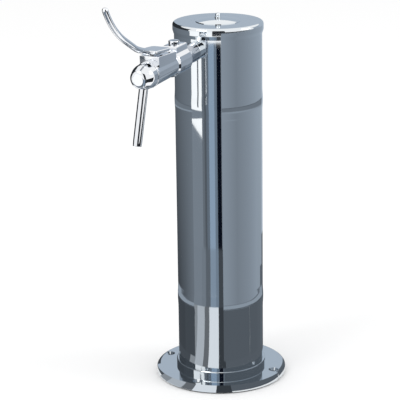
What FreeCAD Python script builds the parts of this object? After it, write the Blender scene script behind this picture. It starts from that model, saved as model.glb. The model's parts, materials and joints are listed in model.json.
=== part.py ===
import FreeCAD, Part
import math
import os

from FreeCAD import Vector

# Single tap beer tower.
# Row frame: origin at the centre of the foot's underside, +Z up, the tap points along -Y.
# All sizes are millimetres.

# Column and foot
column_radius = 44.45
column_wall = 1.5
tower_height = 375.6
gasket_setback = 1.5
gasket_thickness = 1.2
flange_radius = 68.0
flange_thickness = 8.0
flange_edge_radius = 4.0
flange_opening_radius = 30.0
bolt_edge_distance = 8.0
bolt_count = 4
bolt_turn_deg = 4.0
bolt_hole_radius = 2.75
bolt_sink_radius = 5.2
spigot_height = 18.0
spigot_wall = 3.0
foot_ring_width = 2.4
foot_ring_height = 5.8
lower_ridge_height = 84.7
upper_ridge_drop = 80.1
ridge_half_span = 10.4
ridge_rise = 0.6

# Cap
cap_overhang = 1.5
cap_height = 11.5
cap_plate = 1.8
cap_top_rounding = 3.0
cap_lower_rounding = 3.6
cap_seal_thickness = 1.0
dome_radius = 22.6
dome_height = 3.3
stud_radius = 1.5
acorn_radius = 2.5
acorn_base_radius = 3.2
acorn_base_height = 1.2
bridge_drop = 7.0
bridge_width = 14.0
bridge_thickness = 2.5
bridge_ear_height = 12.0
stud_nut_across = 7.0
stud_nut_height = 3.2

# Line inside the column
plug_thickness = 5.0
line_radius = 4.76
line_bore_radius = 3.35
connector_radius = 9.5
connector_nose_radius = 7.0
connector_height = 36.0
connector_socket_depth = 16.0
liner_low = 50.0
liner_headroom = 69.1
liner_channel_radius = 12.0
elbow_radius = 3.3
elbow_bore_radius = 2.2
elbow_bend_radius = 10.0
elbow_leg = 16.0
elbow_grip = 9.0
elbow_collar_radius = 7.2
elbow_collar_thickness = 2.0
tail_washer_thickness = 1.5
tail_washer_radius = 6.4

# Tap line: stations are distances from the column's face along the tap's axis
tap_drop = 21.5
tap_droop_deg = 3.5
shank_radius = 7.9
shank_bore_radius = 3.5
shank_inner_end = -22.0
shank_outer_end = 20.0
inner_saddle_thickness = 3.0
shank_nut_across = 24.0
shank_nut_thickness = 7.0
tail_nut_across = 22.0
tail_nut_length = 14.0
saddle_radius = 9.2
collar_start = 9.3
collar_end = 27.5
collar_radius = 9.6
collar_lip = 3.0
tail_flange_radius = 7.6
tail_flange_thickness = 2.6
tail_radius = 6.4
tail_bore_radius = 4.0
lock_ring_start = 28.0
lock_ring_end = 31.4
lock_ring_radius = 10.6

# Tap body
body_start = 31.8
body_end = 96.5
body_rear_radius = 13.4
body_rear_end = 56.0
body_waist_radius = 11.9
body_front_radius = 12.5
boss_start = 33.5
boss_end = 55.0
boss_half_width = 8.2
boss_top = 17.2
housing_start = 60.0
housing_end = 93.0
housing_half_width = 10.5
housing_rear_top = 14.6
housing_front_top = 17.4
slot_half_width = 3.4
slot_start = 64.5
slot_floor = 8.9
slot_front_wall = 1.8
leg_station = 80.0
leg_slot_start = 75.0
leg_slot_end = 82.8
chamber_radius = 7.5
chamber_start = 41.0
cone_seat_start = 34.0

# Valve
counterbore_radius = 10.0
counterbore_start = 93.5
seat_thickness = 1.5
seat_hole_radius = 4.6
seal_radius = 6.3
seal_thickness = 2.0
seal_gap = 0.1
piston_radius = 7.43
piston_start = 62.0
piston_end = 88.6
piston_neck_radius = 3.2
piston_bore_radius = 1.8
piston_port_radius = 1.1
piston_notch_half = 3.1
piston_notch_floor = 2.6
piston_tip_radius = 1.5
piston_tip = 1.2
o_ring_section = 1.0
o_ring_inset = 2.0
adjuster_station = 45.0
adjuster_head_radius = 5.4
adjuster_head_height = 3.4
adjuster_stem_radius = 3.0
adjuster_stem_foot = 8.2
adjuster_pin_radius = 1.2
adjuster_pin_offset = 1.6
adjuster_pin_foot = 4.6
adjuster_slot_width = 1.3
adjuster_slot_depth = 1.4
adjuster_ring_height = 12.0
adjuster_ring_section = 0.62
cone_start = 35.6
cone_shoulder = 42.6
cone_end = 48.0
cone_small_radius = 3.0
cone_large_radius = 6.0
cone_disc_radius = 7.43
cone_slot_half = 1.35
cone_slot_floor = 4.0
cone_notch_radius = 1.9

# Lever
pivot_station = 86.0
pivot_height = 12.6
pivot_radius = 2.0
pivot_clearance = 0.06
lever_half_thickness = 3.0
lever_hub_radius = 3.6
lever_leg_width = 4.4
lever_leg_foot = 3.4
lever_web_front = 89.2
plate_start = 68.0
plate_end = 97.0
plate_rear_top = 20.3
plate_front_top = 23.6
plate_thickness = 2.9
plate_half_width = 10.5
plate_rear_corner = 5.0
plate_front_corner = 2.0
rod_radius = 2.9
neck_bend_radius = 40.0
rod_straight = 25.2
rod_start_deg = 33.5
rod_end_deg = 64.8
rod_bend_radius = 84.7
rod_root_station = 115.0
rod_root_height = 29.07

# Spout
head_end = 116.5
head_ring_radius = 12.9
head_shoulder_radius = 12.5
head_nose_radius = 9.4
head_cavity_radius = 6.4
head_cavity_end = 111.5
spout_radius = 4.4
spout_bore_radius = 3.5
spout_root_station = 104.6
spout_root_height = -5.6
spout_lean_deg = 18.7
spout_length = 60.4

# Clearances
press_gap = 0.05
slide_gap = 0.3

# Worked-out places
flange_low = gasket_thickness
flange_high = flange_low + flange_thickness
column_inner_radius = column_radius - column_wall
spigot_radius = column_inner_radius - press_gap
cap_base = tower_height - cap_height
cap_radius = column_radius + cap_overhang
tap_height = tower_height - tap_drop
upper_ridge_height = tower_height - upper_ridge_drop
liner_high = tap_height - liner_headroom
gasket_radius = flange_radius - gasket_setback
bolt_circle_radius = flange_radius - bolt_edge_distance
column_top = tower_height - cap_plate - cap_seal_thickness
cap_skirt_radius = column_radius + press_gap
bridge_top = tower_height - bridge_drop
shank_nut_start = -column_wall - inner_saddle_thickness - shank_nut_thickness
line_foot = flange_high + connector_socket_depth + 4.0
tail_flange_start = shank_outer_end + 1.5
face_clearance = 0.1


def rounded_edges(corners, place):
    """Closed chain of straight edges with a tangent arc at each corner that has a radius."""
    edges = []
    starts = []
    ends = []
    count = len(corners)
    for index in range(count):
        u, v, radius = corners[index]
        before = corners[index - 1]
        after = corners[(index + 1) % count]
        back = Vector(before[0] - u, before[1] - v, 0)
        ahead = Vector(after[0] - u, after[1] - v, 0)
        if radius <= 0:
            starts.append((u, v))
            ends.append((u, v))
            continue
        back.normalize()
        ahead.normalize()
        half = math.acos(max(-1.0, min(1.0, back.dot(ahead)))) / 2
        run = radius / math.tan(half)
        reach = radius / math.sin(half)
        middle = back + ahead
        middle.normalize()
        first = (u + back.x * run, v + back.y * run)
        last = (u + ahead.x * run, v + ahead.y * run)
        crown = (u + middle.x * (reach - radius), v + middle.y * (reach - radius))
        edges.append(Part.Arc(place(*first), place(*crown), place(*last)).toShape())
        starts.append(first)
        ends.append(last)
    for index in range(count):
        leave = ends[index]
        meet = starts[(index + 1) % count]
        if math.dist(leave, meet) > 1e-6:
            edges.append(Part.LineSegment(place(*leave), place(*meet)).toShape())
    return Part.Wire(Part.__sortEdges__(edges))


def upright(corners):
    """Solid turned about Z from corners (radius, height, rounding)."""
    face = Part.Face(rounded_edges(corners, lambda r, z: Vector(r, 0, z)))
    return face.revolve(Vector(0, 0, 0), Vector(0, 0, 1), 360)


def turned(corners):
    """Solid turned about the tap's axis from corners (station, radius, rounding)."""
    face = Part.Face(rounded_edges(corners, lambda a, r: Vector(r, -a, 0)))
    return face.revolve(Vector(0, 0, 0), Vector(0, 1, 0), 360)


def slab(corners, half_width):
    """Plate square to X from corners (station, height, rounding)."""
    face = Part.Face(rounded_edges(corners, lambda a, b: Vector(-half_width, -a, b)))
    return face.extrude(Vector(2 * half_width, 0, 0))


def bar(start, end, radius):
    """Round bar on the tap's axis between two stations."""
    return Part.makeCylinder(radius, end - start, Vector(0, -start, 0), Vector(0, -1, 0))


def sleeve(start, end, outer, inner):
    return bar(start, end, outer).cut(bar(start, end, inner))


def pipe_z(low, high, outer, inner):
    solid = Part.makeCylinder(outer, high - low, Vector(0, 0, low))
    return solid.cut(Part.makeCylinder(inner, high - low, Vector(0, 0, low)))


def hexagon(across, length, centre, direction):
    """Hexagonal prism with turned-off corners, starting at centre and running along direction."""
    reach = across / math.sqrt(3)
    corners = []
    for index in range(7):
        turn = math.radians(60 * index)
        corners.append(Vector(reach * math.cos(turn), reach * math.sin(turn), 0))
    prism = Part.Face(Part.makePolygon(corners)).extrude(Vector(0, 0, length))
    drop = (reach - across / 2) * 0.6
    lens = upright([(0, 0, 0), (reach - drop, 0, 0), (reach, drop * 0.6, 0),
                    (reach, length - drop * 0.6, 0), (reach - drop, length, 0), (0, length, 0)])
    nut = prism.common(lens)
    nut.Placement = FreeCAD.Placement(centre, FreeCAD.Rotation(Vector(0, 0, 1), direction))
    return nut


def torus_on_axis(station, reach, section):
    return Part.makeTorus(reach, section, Vector(0, -station, 0), Vector(0, -1, 0))


def seated(shape):
    """Carry a tap piece from its own frame to the column's face, drooped to its slope."""
    moved = shape.copy()
    moved.rotate(Vector(0, 0, 0), Vector(1, 0, 0), tap_droop_deg)
    moved.translate(Vector(0, -column_radius, tap_height))
    return moved


# Foot

def bolt_centre(index):
    turn = math.radians(-90 + bolt_turn_deg + index * 360 / bolt_count)
    return Vector(bolt_circle_radius * math.cos(turn), bolt_circle_radius * math.sin(turn), 0)


def base_flange():
    inner = spigot_radius - spigot_wall
    top = flange_high + spigot_height
    body = upright([
        (flange_opening_radius, flange_low, 0), (flange_radius, flange_low, 0.4),
        (flange_radius, flange_high, flange_edge_radius), (spigot_radius, flange_high, 0),
        (spigot_radius, top, 1.0), (inner, top, 0.6), (inner, flange_high, 0),
        (flange_opening_radius, flange_high, 0.6)])
    sink = bolt_sink_radius - bolt_hole_radius
    for index in range(bolt_count):
        place = bolt_centre(index)
        hole = Part.makeCylinder(bolt_hole_radius, flange_high + 1, place)
        cone = Part.makeCone(bolt_hole_radius, bolt_sink_radius + 0.5, sink + 0.5,
                             place + Vector(0, 0, flange_high - sink))
        body = body.cut(hole).cut(cone)
    return body


def base_gasket():
    body = pipe_z(0, gasket_thickness, gasket_radius, flange_opening_radius)
    for index in range(bolt_count):
        body = body.cut(Part.makeCylinder(bolt_hole_radius, gasket_thickness, bolt_centre(index)))
    return body


def foot_ring():
    inner = column_radius + press_gap
    outer = column_radius + foot_ring_width
    top = flange_high + foot_ring_height
    return upright([(inner, flange_high, 0), (outer, flange_high, 0), (outer, top, 1.2),
                    (inner, top, 0)])


def ridge_points(height, radius):
    return [(radius, height - ridge_half_span, 0), (radius + ridge_rise, height, 0),
            (radius, height + ridge_half_span, 0)]


def column_tube():
    outer = [(column_radius, flange_high, 0)]
    outer += ridge_points(lower_ridge_height, column_radius)
    outer += ridge_points(upper_ridge_height, column_radius)
    outer += [(column_radius, column_top, 0)]
    inner = [(column_inner_radius, column_top, 0)]
    inner += ridge_points(upper_ridge_height, column_inner_radius)[::-1]
    inner += ridge_points(lower_ridge_height, column_inner_radius)[::-1]
    inner += [(column_inner_radius, flange_high, 0)]
    hole = seated(bar(-10, 12, shank_radius + press_gap))
    return upright(outer + inner).cut(hole)


# Inside the column

def elbow_bend():
    """Bend start and leg top of the tail, whose leg ends up plumb on the column's axis."""
    slope = math.radians(tap_droop_deg)
    turn = math.pi / 2 + slope
    drop = -elbow_bend_radius + elbow_bend_radius * math.cos(turn)
    leg_y = (column_radius + drop * math.sin(slope)) / math.cos(slope)
    bend_y = leg_y - elbow_bend_radius * math.sin(turn)
    return bend_y, leg_y, drop


def elbow_foot_height():
    slope = math.radians(tap_droop_deg)
    bend_y, leg_y, drop = elbow_bend()
    leg_height = tap_height + leg_y * math.sin(slope) + drop * math.cos(slope)
    return leg_height - elbow_leg


def base_plug():
    outer = spigot_radius - spigot_wall - press_gap
    return pipe_z(flange_high, flange_high + plug_thickness, outer, connector_nose_radius + press_gap)


def inlet_connector():
    low = flange_high
    shoulder = low + plug_thickness
    top = low + connector_height
    outer = upright([(0, low, 0), (connector_nose_radius, low, 0.5), (connector_nose_radius, shoulder, 0),
                     (connector_radius, shoulder, 0.6), (connector_radius, top - 14, 1.0),
                     (connector_nose_radius + 1, top - 12, 0.6), (connector_nose_radius + 1, top, 0.8),
                     (0, top, 0)])
    socket = Part.makeCylinder(line_radius + 0.04, connector_socket_depth, Vector(0, 0, low))
    waist = Part.makeCylinder(line_bore_radius, connector_height, Vector(0, 0, low))
    upper = Part.makeCylinder(line_radius + 0.04, connector_height, Vector(0, 0, line_foot))
    return outer.cut(socket).cut(waist).cut(upper)


def beer_line():
    top = elbow_foot_height() + elbow_grip
    return pipe_z(line_foot, top, line_radius, line_bore_radius)


def foam_liner():
    return pipe_z(liner_low, liner_high, column_inner_radius - slide_gap, liner_channel_radius)


def elbow_tail():
    """Bent tail: flat collar, bend, then a plumb leg that the beer line is pushed over."""
    slope = math.radians(tap_droop_deg)
    start = shank_inner_end - tail_washer_thickness
    bend_y, leg_y, drop = elbow_bend()
    first = Vector(0, -start, 0)
    corner = Vector(0, bend_y, 0)
    half = (math.pi / 2 + slope) / 2
    middle = Vector(0, bend_y + elbow_bend_radius * math.sin(half),
                    elbow_bend_radius * (math.cos(half) - 1))
    leg_top = Vector(0, leg_y, drop)
    foot = leg_top + Vector(0, -math.sin(slope), -math.cos(slope)) * elbow_leg
    path = Part.Wire([Part.LineSegment(first, corner).toShape(),
                      Part.Arc(corner, middle, leg_top).toShape(),
                      Part.LineSegment(leg_top, foot).toShape()])
    tubes = []
    for radius in (elbow_radius, elbow_bore_radius):
        circle = Part.Wire(Part.makeCircle(radius, first, Vector(0, 1, 0)))
        tubes.append(path.makePipeShell([circle], True, False))
    collar = bar(start - elbow_collar_thickness, start, elbow_collar_radius)
    return tubes[0].fuse(collar).cut(tubes[1])


# Cap

def top_cap():
    under = tower_height - cap_plate
    body = upright([
        (0, tower_height, 0), (cap_radius, tower_height, cap_top_rounding),
        (cap_radius, cap_base + cap_lower_rounding, 2.0), (cap_skirt_radius + 0.3, cap_base, 0),
        (cap_skirt_radius, cap_base, 0), (cap_skirt_radius, under, 0), (0, under, 0)])
    return body.cut(stud_hole())


def stud_hole():
    return Part.makeCylinder(stud_radius + press_gap, tower_height * 2, Vector(0, 0, 0))


def cap_seal():
    return pipe_z(column_top, column_top + cap_seal_thickness, column_radius, column_inner_radius - 2)


def cap_dome():
    low = tower_height
    rim = low + 0.5
    crown = low + dome_height
    arc = Part.Arc(Vector(dome_radius, 0, rim), Vector(dome_radius * 0.55, 0, rim + 0.72 * (crown - rim)),
                   Vector(0, 0, crown)).toShape()
    edges = [Part.LineSegment(Vector(0, 0, low), Vector(dome_radius, 0, low)).toShape(),
             Part.LineSegment(Vector(dome_radius, 0, low), Vector(dome_radius, 0, rim)).toShape(), arc,
             Part.LineSegment(Vector(0, 0, crown), Vector(0, 0, low)).toShape()]
    solid = Part.Face(Part.Wire(edges)).revolve(Vector(0, 0, 0), Vector(0, 0, 1), 360)
    return solid.cut(stud_hole())


def acorn_nut():
    low = tower_height + dome_height - 0.05
    centre = Vector(0, 0, low + acorn_base_height + acorn_radius * 0.6)
    base = Part.makeCylinder(acorn_base_radius, acorn_base_height, Vector(0, 0, low))
    nut = base.fuse(Part.makeSphere(acorn_radius, centre))
    nut = nut.cut(Part.makeCylinder(stud_radius, centre.z - low, Vector(0, 0, low)))
    return nut.cut(cap_dome())


def cap_bridge():
    low = bridge_top - bridge_thickness
    strip = Part.makeBox(4 * column_radius, bridge_width, bridge_thickness,
                         Vector(-2 * column_radius, -bridge_width / 2, low))
    strip = strip.common(Part.makeCylinder(column_inner_radius, bridge_thickness, Vector(0, 0, low)))
    ears = pipe_z(bridge_top - bridge_ear_height, bridge_top, column_inner_radius,
                  column_inner_radius - bridge_thickness)
    ears = ears.common(Part.makeBox(4 * column_radius, bridge_width, bridge_ear_height,
                                    Vector(-2 * column_radius, -bridge_width / 2,
                                           bridge_top - bridge_ear_height)))
    return strip.fuse(ears).removeSplitter().cut(stud_hole())


def cap_stud():
    low = bridge_top - bridge_thickness - stud_nut_height - 1
    high = tower_height + dome_height + acorn_base_height + acorn_radius * 0.4
    return Part.makeCylinder(stud_radius, high - low, Vector(0, 0, low))


def stud_nut():
    low = bridge_top - bridge_thickness - stud_nut_height
    nut = hexagon(stud_nut_across, stud_nut_height, Vector(0, 0, low), Vector(0, 0, 1))
    return nut.cut(Part.makeCylinder(stud_radius, stud_nut_height, Vector(0, 0, low)))


# Shank through the column's wall

def shank_tube():
    return sleeve(shank_inner_end, shank_outer_end, shank_radius, shank_bore_radius)


def outer_saddle():
    """Spacer whose back is hollowed to the column's curve."""
    body = seated(turned([(-3, 0, 0), (-3, saddle_radius, 0), (collar_start, saddle_radius, 0.6),
                          (collar_start, 0, 0)]))
    column = Part.makeCylinder(column_radius, tower_height)
    return body.cut(column).cut(seated(bar(-4, collar_start + 1, shank_radius + press_gap)))


def inner_saddle():
    low = -column_wall - inner_saddle_thickness
    body = seated(bar(low, 1, shank_nut_across / 2))
    column = Part.makeCylinder(column_inner_radius, tower_height)
    return body.common(column).cut(seated(bar(low - 1, 2, shank_radius + press_gap)))


def shank_nut():
    nut = hexagon(shank_nut_across, shank_nut_thickness, Vector(0, -shank_nut_start, 0), Vector(0, -1, 0))
    return nut.cut(bar(shank_nut_start, 0, shank_radius))


def tail_washer():
    return sleeve(shank_inner_end - tail_washer_thickness, shank_inner_end, tail_washer_radius,
                  elbow_radius)


def tail_nut():
    end = shank_inner_end + tail_nut_length - 6
    start = end - tail_nut_length
    ledge = shank_inner_end - tail_washer_thickness - elbow_collar_thickness
    nut = hexagon(tail_nut_across, tail_nut_length, Vector(0, -start, 0), Vector(0, -1, 0))
    nut = nut.cut(bar(ledge, end, shank_radius))
    return nut.cut(bar(start, end, elbow_radius + slide_gap))


# Tap

def tap_collar():
    lip = collar_end - collar_lip
    body = turned([(collar_start, 0, 0), (collar_start, collar_radius, 1.1),
                   (collar_end, collar_radius, 1.1), (collar_end, 0, 0)])
    body = body.cut(bar(collar_start, lip, shank_radius))
    return body.cut(bar(lip, collar_end, tail_radius + press_gap))


def tap_washer():
    return sleeve(shank_outer_end, tail_flange_start, shank_radius - 0.6, shank_bore_radius)


def lock_ring():
    ring = turned([(lock_ring_start, 0, 0), (lock_ring_start, lock_ring_radius, 0.9),
                   (lock_ring_end, lock_ring_radius, 0.9), (lock_ring_end, 0, 0)])
    return ring.cut(bar(lock_ring_start, lock_ring_end, tail_radius + press_gap))


def tunnel(half_width, top, rounding, start, end):
    """Bar along the tap with a flat foot on the axis and a rounded top."""
    corners = [(-half_width, 0, 0), (-half_width, top, rounding), (half_width, top, rounding),
               (half_width, 0, 0)]
    face = Part.Face(rounded_edges(corners, lambda x, b: Vector(x, -start, b)))
    return face.extrude(Vector(0, start - end, 0))


def tap_body_shell():
    barrel = turned([
        (body_start, 0, 0), (body_start, body_rear_radius, 2.4), (body_rear_end, body_rear_radius, 1.6),
        (body_rear_end + 2.4, body_waist_radius, 1.2), (body_end, body_front_radius, 0.4),
        (body_end, 0, 0)])
    boss = slab([(boss_start, 0, 0), (boss_start, boss_top, 3.0), (boss_end, boss_top, 3.0),
                 (boss_end, 0, 0)], boss_half_width)
    boss = boss.common(tunnel(boss_half_width, boss_top, 2.8, boss_start, boss_end))
    housing = slab([(housing_start, 0, 0), (housing_start, housing_rear_top, 1.2),
                    (housing_end, housing_front_top, 0.6), (housing_end, 0, 0)], housing_half_width)
    housing = housing.common(tunnel(housing_half_width, housing_front_top, 1.0, housing_start, housing_end))
    tail = bar(tail_flange_start, tail_flange_start + tail_flange_thickness, tail_flange_radius)
    tail = tail.fuse(bar(tail_flange_start, body_start + 1, tail_radius))
    return barrel.fuse([boss, housing, tail]).removeSplitter()


def lever_slot():
    """Way for the lever: an open trough, and a slit below it for the leg."""
    trough_end = housing_end - slot_front_wall
    high = housing_front_top + 5
    trough = slab([(slot_start, slot_floor, 1.0), (slot_start, high, 0), (trough_end, high, 0),
                   (trough_end, slot_floor, 1.0)], slot_half_width)
    slit = slab([(leg_slot_start, 0, 0), (leg_slot_start, slot_floor + 1, 0),
                 (leg_slot_end, slot_floor + 1, 0), (leg_slot_end, 0, 0)], slot_half_width)
    return trough.fuse(slit)


def pin_bar(radius, half_length):
    return Part.makeCylinder(radius, 2 * half_length, Vector(-half_length, -pivot_station, pivot_height),
                             Vector(1, 0, 0))


def adjuster_bar(low, high, radius):
    return Part.makeCylinder(radius, high - low, Vector(0, -adjuster_station, low))


def tap_body():
    body = tap_body_shell()
    body = body.cut(bar(tail_flange_start - 1, cone_seat_start + 1, tail_bore_radius))
    body = body.cut(Part.makeCone(tail_bore_radius, chamber_radius, chamber_start - cone_seat_start,
                                  Vector(0, -cone_seat_start, 0), Vector(0, -1, 0)))
    body = body.cut(bar(chamber_start, counterbore_start + 1, chamber_radius))
    body = body.cut(bar(counterbore_start, body_end + 1, counterbore_radius))
    body = body.cut(lever_slot())
    body = body.cut(pin_bar(pivot_radius, housing_half_width + 1))
    return body.cut(adjuster_bar(chamber_radius - 1.5, boss_top + 1, adjuster_stem_radius + pivot_clearance))


def lever_pin():
    return pin_bar(pivot_radius, housing_half_width - 0.2)


def flow_cone():
    nose = Part.makeCone(cone_small_radius, cone_large_radius, cone_shoulder - cone_start,
                         Vector(0, -cone_start, 0), Vector(0, -1, 0))
    body = nose.fuse(bar(cone_shoulder, cone_end, cone_disc_radius))
    slot = slab([(adjuster_station - cone_slot_half, cone_slot_floor, 0),
                 (adjuster_station - cone_slot_half, chamber_radius + 1, 0),
                 (adjuster_station + cone_slot_half, chamber_radius + 1, 0),
                 (adjuster_station + cone_slot_half, cone_slot_floor, 0)], chamber_radius)
    body = body.cut(slot)
    for index in range(4):
        turn = math.radians(45 + 90 * index)
        place = Vector(chamber_radius * math.cos(turn), -cone_shoulder, chamber_radius * math.sin(turn))
        body = body.cut(Part.makeCylinder(cone_notch_radius, cone_end - cone_shoulder, place,
                                          Vector(0, -1, 0)))
    return body


def flow_adjuster():
    seat = boss_top + 0.2
    top = seat + adjuster_head_height
    corners = [(0, seat, 0), (adjuster_head_radius, seat, 0.4), (adjuster_head_radius, top, 1.0),
               (0, top, 0)]
    head = upright(corners)
    head.translate(Vector(0, -adjuster_station, 0))
    head = head.fuse(adjuster_bar(adjuster_stem_foot, seat + 1, adjuster_stem_radius))
    pin = Part.makeCylinder(adjuster_pin_radius, adjuster_stem_foot - adjuster_pin_foot + 1,
                            Vector(adjuster_pin_offset, -adjuster_station, adjuster_pin_foot))
    groove = adjuster_bar(adjuster_ring_height - 0.8, adjuster_ring_height + 0.8, adjuster_stem_radius + 1)
    groove = groove.cut(adjuster_bar(adjuster_ring_height - 0.8, adjuster_ring_height + 0.8,
                                     adjuster_stem_radius - 2 * adjuster_ring_section))
    driver = Part.makeBox(2 * adjuster_head_radius, adjuster_slot_width, adjuster_slot_depth,
                          Vector(-adjuster_head_radius, -adjuster_station - adjuster_slot_width / 2,
                                 top - adjuster_slot_depth))
    return head.fuse(pin).cut(groove).cut(driver)


def adjuster_ring():
    reach = adjuster_stem_radius - adjuster_ring_section
    return Part.makeTorus(reach, adjuster_ring_section, Vector(0, -adjuster_station, adjuster_ring_height))


def o_ring_stations():
    return (piston_start + o_ring_inset, piston_end - o_ring_inset)


def valve_piston():
    body = bar(piston_start, piston_end, piston_radius)
    seal_start = counterbore_start - seal_gap - seal_thickness
    body = body.fuse(bar(piston_end, seal_start, piston_neck_radius))
    body = body.fuse(bar(seal_start, seal_start + piston_tip, piston_tip_radius))
    body = body.cut(bar(piston_start, seal_start - 0.6, piston_bore_radius))
    port = Vector(-chamber_radius, -(piston_end + seal_start) / 2, 0)
    body = body.cut(Part.makeCylinder(piston_port_radius, 2 * chamber_radius, port, Vector(1, 0, 0)))
    notch = slab([(leg_station - piston_notch_half, piston_notch_floor, 0.6),
                  (leg_station - piston_notch_half, chamber_radius + 1, 0),
                  (leg_station + piston_notch_half, chamber_radius + 1, 0),
                  (leg_station + piston_notch_half, piston_notch_floor, 0.6)], chamber_radius)
    body = body.cut(notch)
    for station in o_ring_stations():
        groove = sleeve(station - o_ring_section, station + o_ring_section, chamber_radius + 1,
                        chamber_radius - press_gap - 2 * o_ring_section)
        body = body.cut(groove)
    return body


def piston_o_rings():
    reach = chamber_radius - press_gap - o_ring_section
    return Part.makeCompound([torus_on_axis(station, reach, o_ring_section)
                              for station in o_ring_stations()])


def piston_seal():
    start = counterbore_start - seal_gap - seal_thickness
    disc = bar(start, start + seal_thickness, seal_radius)
    return disc.cut(bar(start, start + piston_tip, piston_tip_radius))


def valve_seat():
    return sleeve(counterbore_start, counterbore_start + seat_thickness,
                  counterbore_radius - face_clearance, seat_hole_radius)


# Spout

def spout_root():
    return Vector(0, -spout_root_station, spout_root_height)


def spout_direction():
    lean = math.radians(spout_lean_deg)
    return Vector(0, -math.sin(lean), -math.cos(lean))


def spout_head():
    spigot_start = counterbore_start + seat_thickness
    shell = turned([
        (body_end, 0, 0), (body_end, head_ring_radius, 0.6), (body_end + 2.0, head_ring_radius, 0.6),
        (body_end + 2.3, head_shoulder_radius, 0), (body_end + 11.0, head_shoulder_radius - 0.3, 13.0),
        (head_end, head_nose_radius - 1.0, 2.8), (head_end, 0, 0)])
    shell = shell.fuse(bar(spigot_start, body_end + 1, counterbore_radius - face_clearance))
    shell = shell.cut(bar(spigot_start, head_cavity_end, head_cavity_radius))
    return shell.cut(Part.makeCylinder(spout_radius, 20, spout_root(), spout_direction()))


def spout_tube():
    tip = 5.0
    tube = upright([(spout_bore_radius, 0, 0), (spout_radius, 0, 0), (spout_radius, spout_length - tip, 0),
                    (spout_radius - 0.3, spout_length, 0.3), (spout_bore_radius, spout_length, 0)])
    tube.Placement = FreeCAD.Placement(spout_root(), FreeCAD.Rotation(Vector(0, 0, 1), spout_direction()))
    return tube


# Lever

def lever_plate():
    """Cover plate over the housing, with rounded corners and softened long edges."""
    low = plate_thickness
    side = slab([(plate_start, plate_rear_top - low, 0.9), (plate_start, plate_rear_top, 1.2),
                 (plate_end, plate_front_top, 1.2), (plate_end, plate_front_top - low, 0.9)],
                plate_half_width)
    half = plate_half_width
    corners = [(-half, plate_start, plate_rear_corner), (half, plate_start, plate_rear_corner),
               (half, plate_end, plate_front_corner), (-half, plate_end, plate_front_corner)]
    plan = Part.Face(rounded_edges(corners, lambda x, a: Vector(x, -a, plate_rear_top - 3 * low)))
    plan = plan.extrude(Vector(0, 0, 6 * low))
    cross = tunnel(half, plate_thickness, 1.2, plate_start - 10, plate_end + 10)
    cross.rotate(Vector(0, 0, 0), Vector(1, 0, 0), -plate_slope_deg())
    middle_station = (plate_start + plate_end) / 2
    middle_top = (plate_rear_top + plate_front_top) / 2
    lift = middle_top - plate_thickness / math.cos(math.radians(plate_slope_deg()))
    shift = lift - middle_station * math.tan(math.radians(plate_slope_deg()))
    cross.translate(Vector(0, 0, shift))
    return side.common(plan).common(cross)


def plate_slope_deg():
    return math.degrees(math.atan2(plate_front_top - plate_rear_top, plate_end - plate_start))


def lever_web():
    """Web under the plate with the hub on the pin and the leg that works the piston."""
    root = plate_rear_top - plate_thickness / 2
    rear = leg_station - lever_leg_width / 2
    front = leg_station + lever_leg_width / 2
    web = slab([(rear, root, 0), (rear, lever_leg_foot, 1.4), (front, lever_leg_foot, 1.4),
                (front, pivot_height - 2.2, 0), (lever_web_front, pivot_height, 0),
                (lever_web_front, root + 1, 0)], lever_half_thickness)
    return web.fuse(pin_bar(lever_hub_radius, lever_half_thickness))


def rod_point(turn):
    """Point on the rod's bend, which starts where the straight stretch ends."""
    first = math.radians(rod_start_deg)
    station = rod_root_station + rod_straight * math.cos(first)
    height = rod_root_height + rod_straight * math.sin(first)
    station += rod_bend_radius * (math.sin(turn) - math.sin(first))
    height += rod_bend_radius * (math.cos(first) - math.cos(turn))
    return Vector(0, -station, height)


def lever_rod():
    """Round rod: a flat neck out of the plate, a short bend, a straight and the long bend."""
    first = math.radians(rod_start_deg)
    last = math.radians(rod_end_deg)
    start = Vector(0, 4.0 - plate_end, plate_front_top - plate_thickness + 0.2)
    corner = Vector(0, -rod_root_station, rod_root_height)
    bend = rod_point(first)
    tip = rod_point(last)
    neck = corner - start
    neck.normalize()
    along = bend - corner
    along.normalize()
    turn = neck.getAngle(along)
    run = neck_bend_radius * math.tan(turn / 2)
    crown = along - neck
    crown.normalize()
    crown = corner + crown * neck_bend_radius * (1 / math.cos(turn / 2) - 1)
    path = Part.Wire([Part.LineSegment(start, corner - neck * run).toShape(),
                      Part.Arc(corner - neck * run, crown, corner + along * run).toShape(),
                      Part.LineSegment(corner + along * run, bend).toShape(),
                      Part.Arc(bend, rod_point((first + last) / 2), tip).toShape()])
    circle = Part.Wire(Part.makeCircle(rod_radius, start, neck))
    rod = path.makePipeShell([circle], True, False)
    return rod.fuse(Part.makeSphere(rod_radius, tip))


def lever():
    body = lever_plate().fuse([lever_web(), lever_rod()]).removeSplitter()
    return body.cut(pin_bar(pivot_radius + pivot_clearance, housing_half_width))


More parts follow.
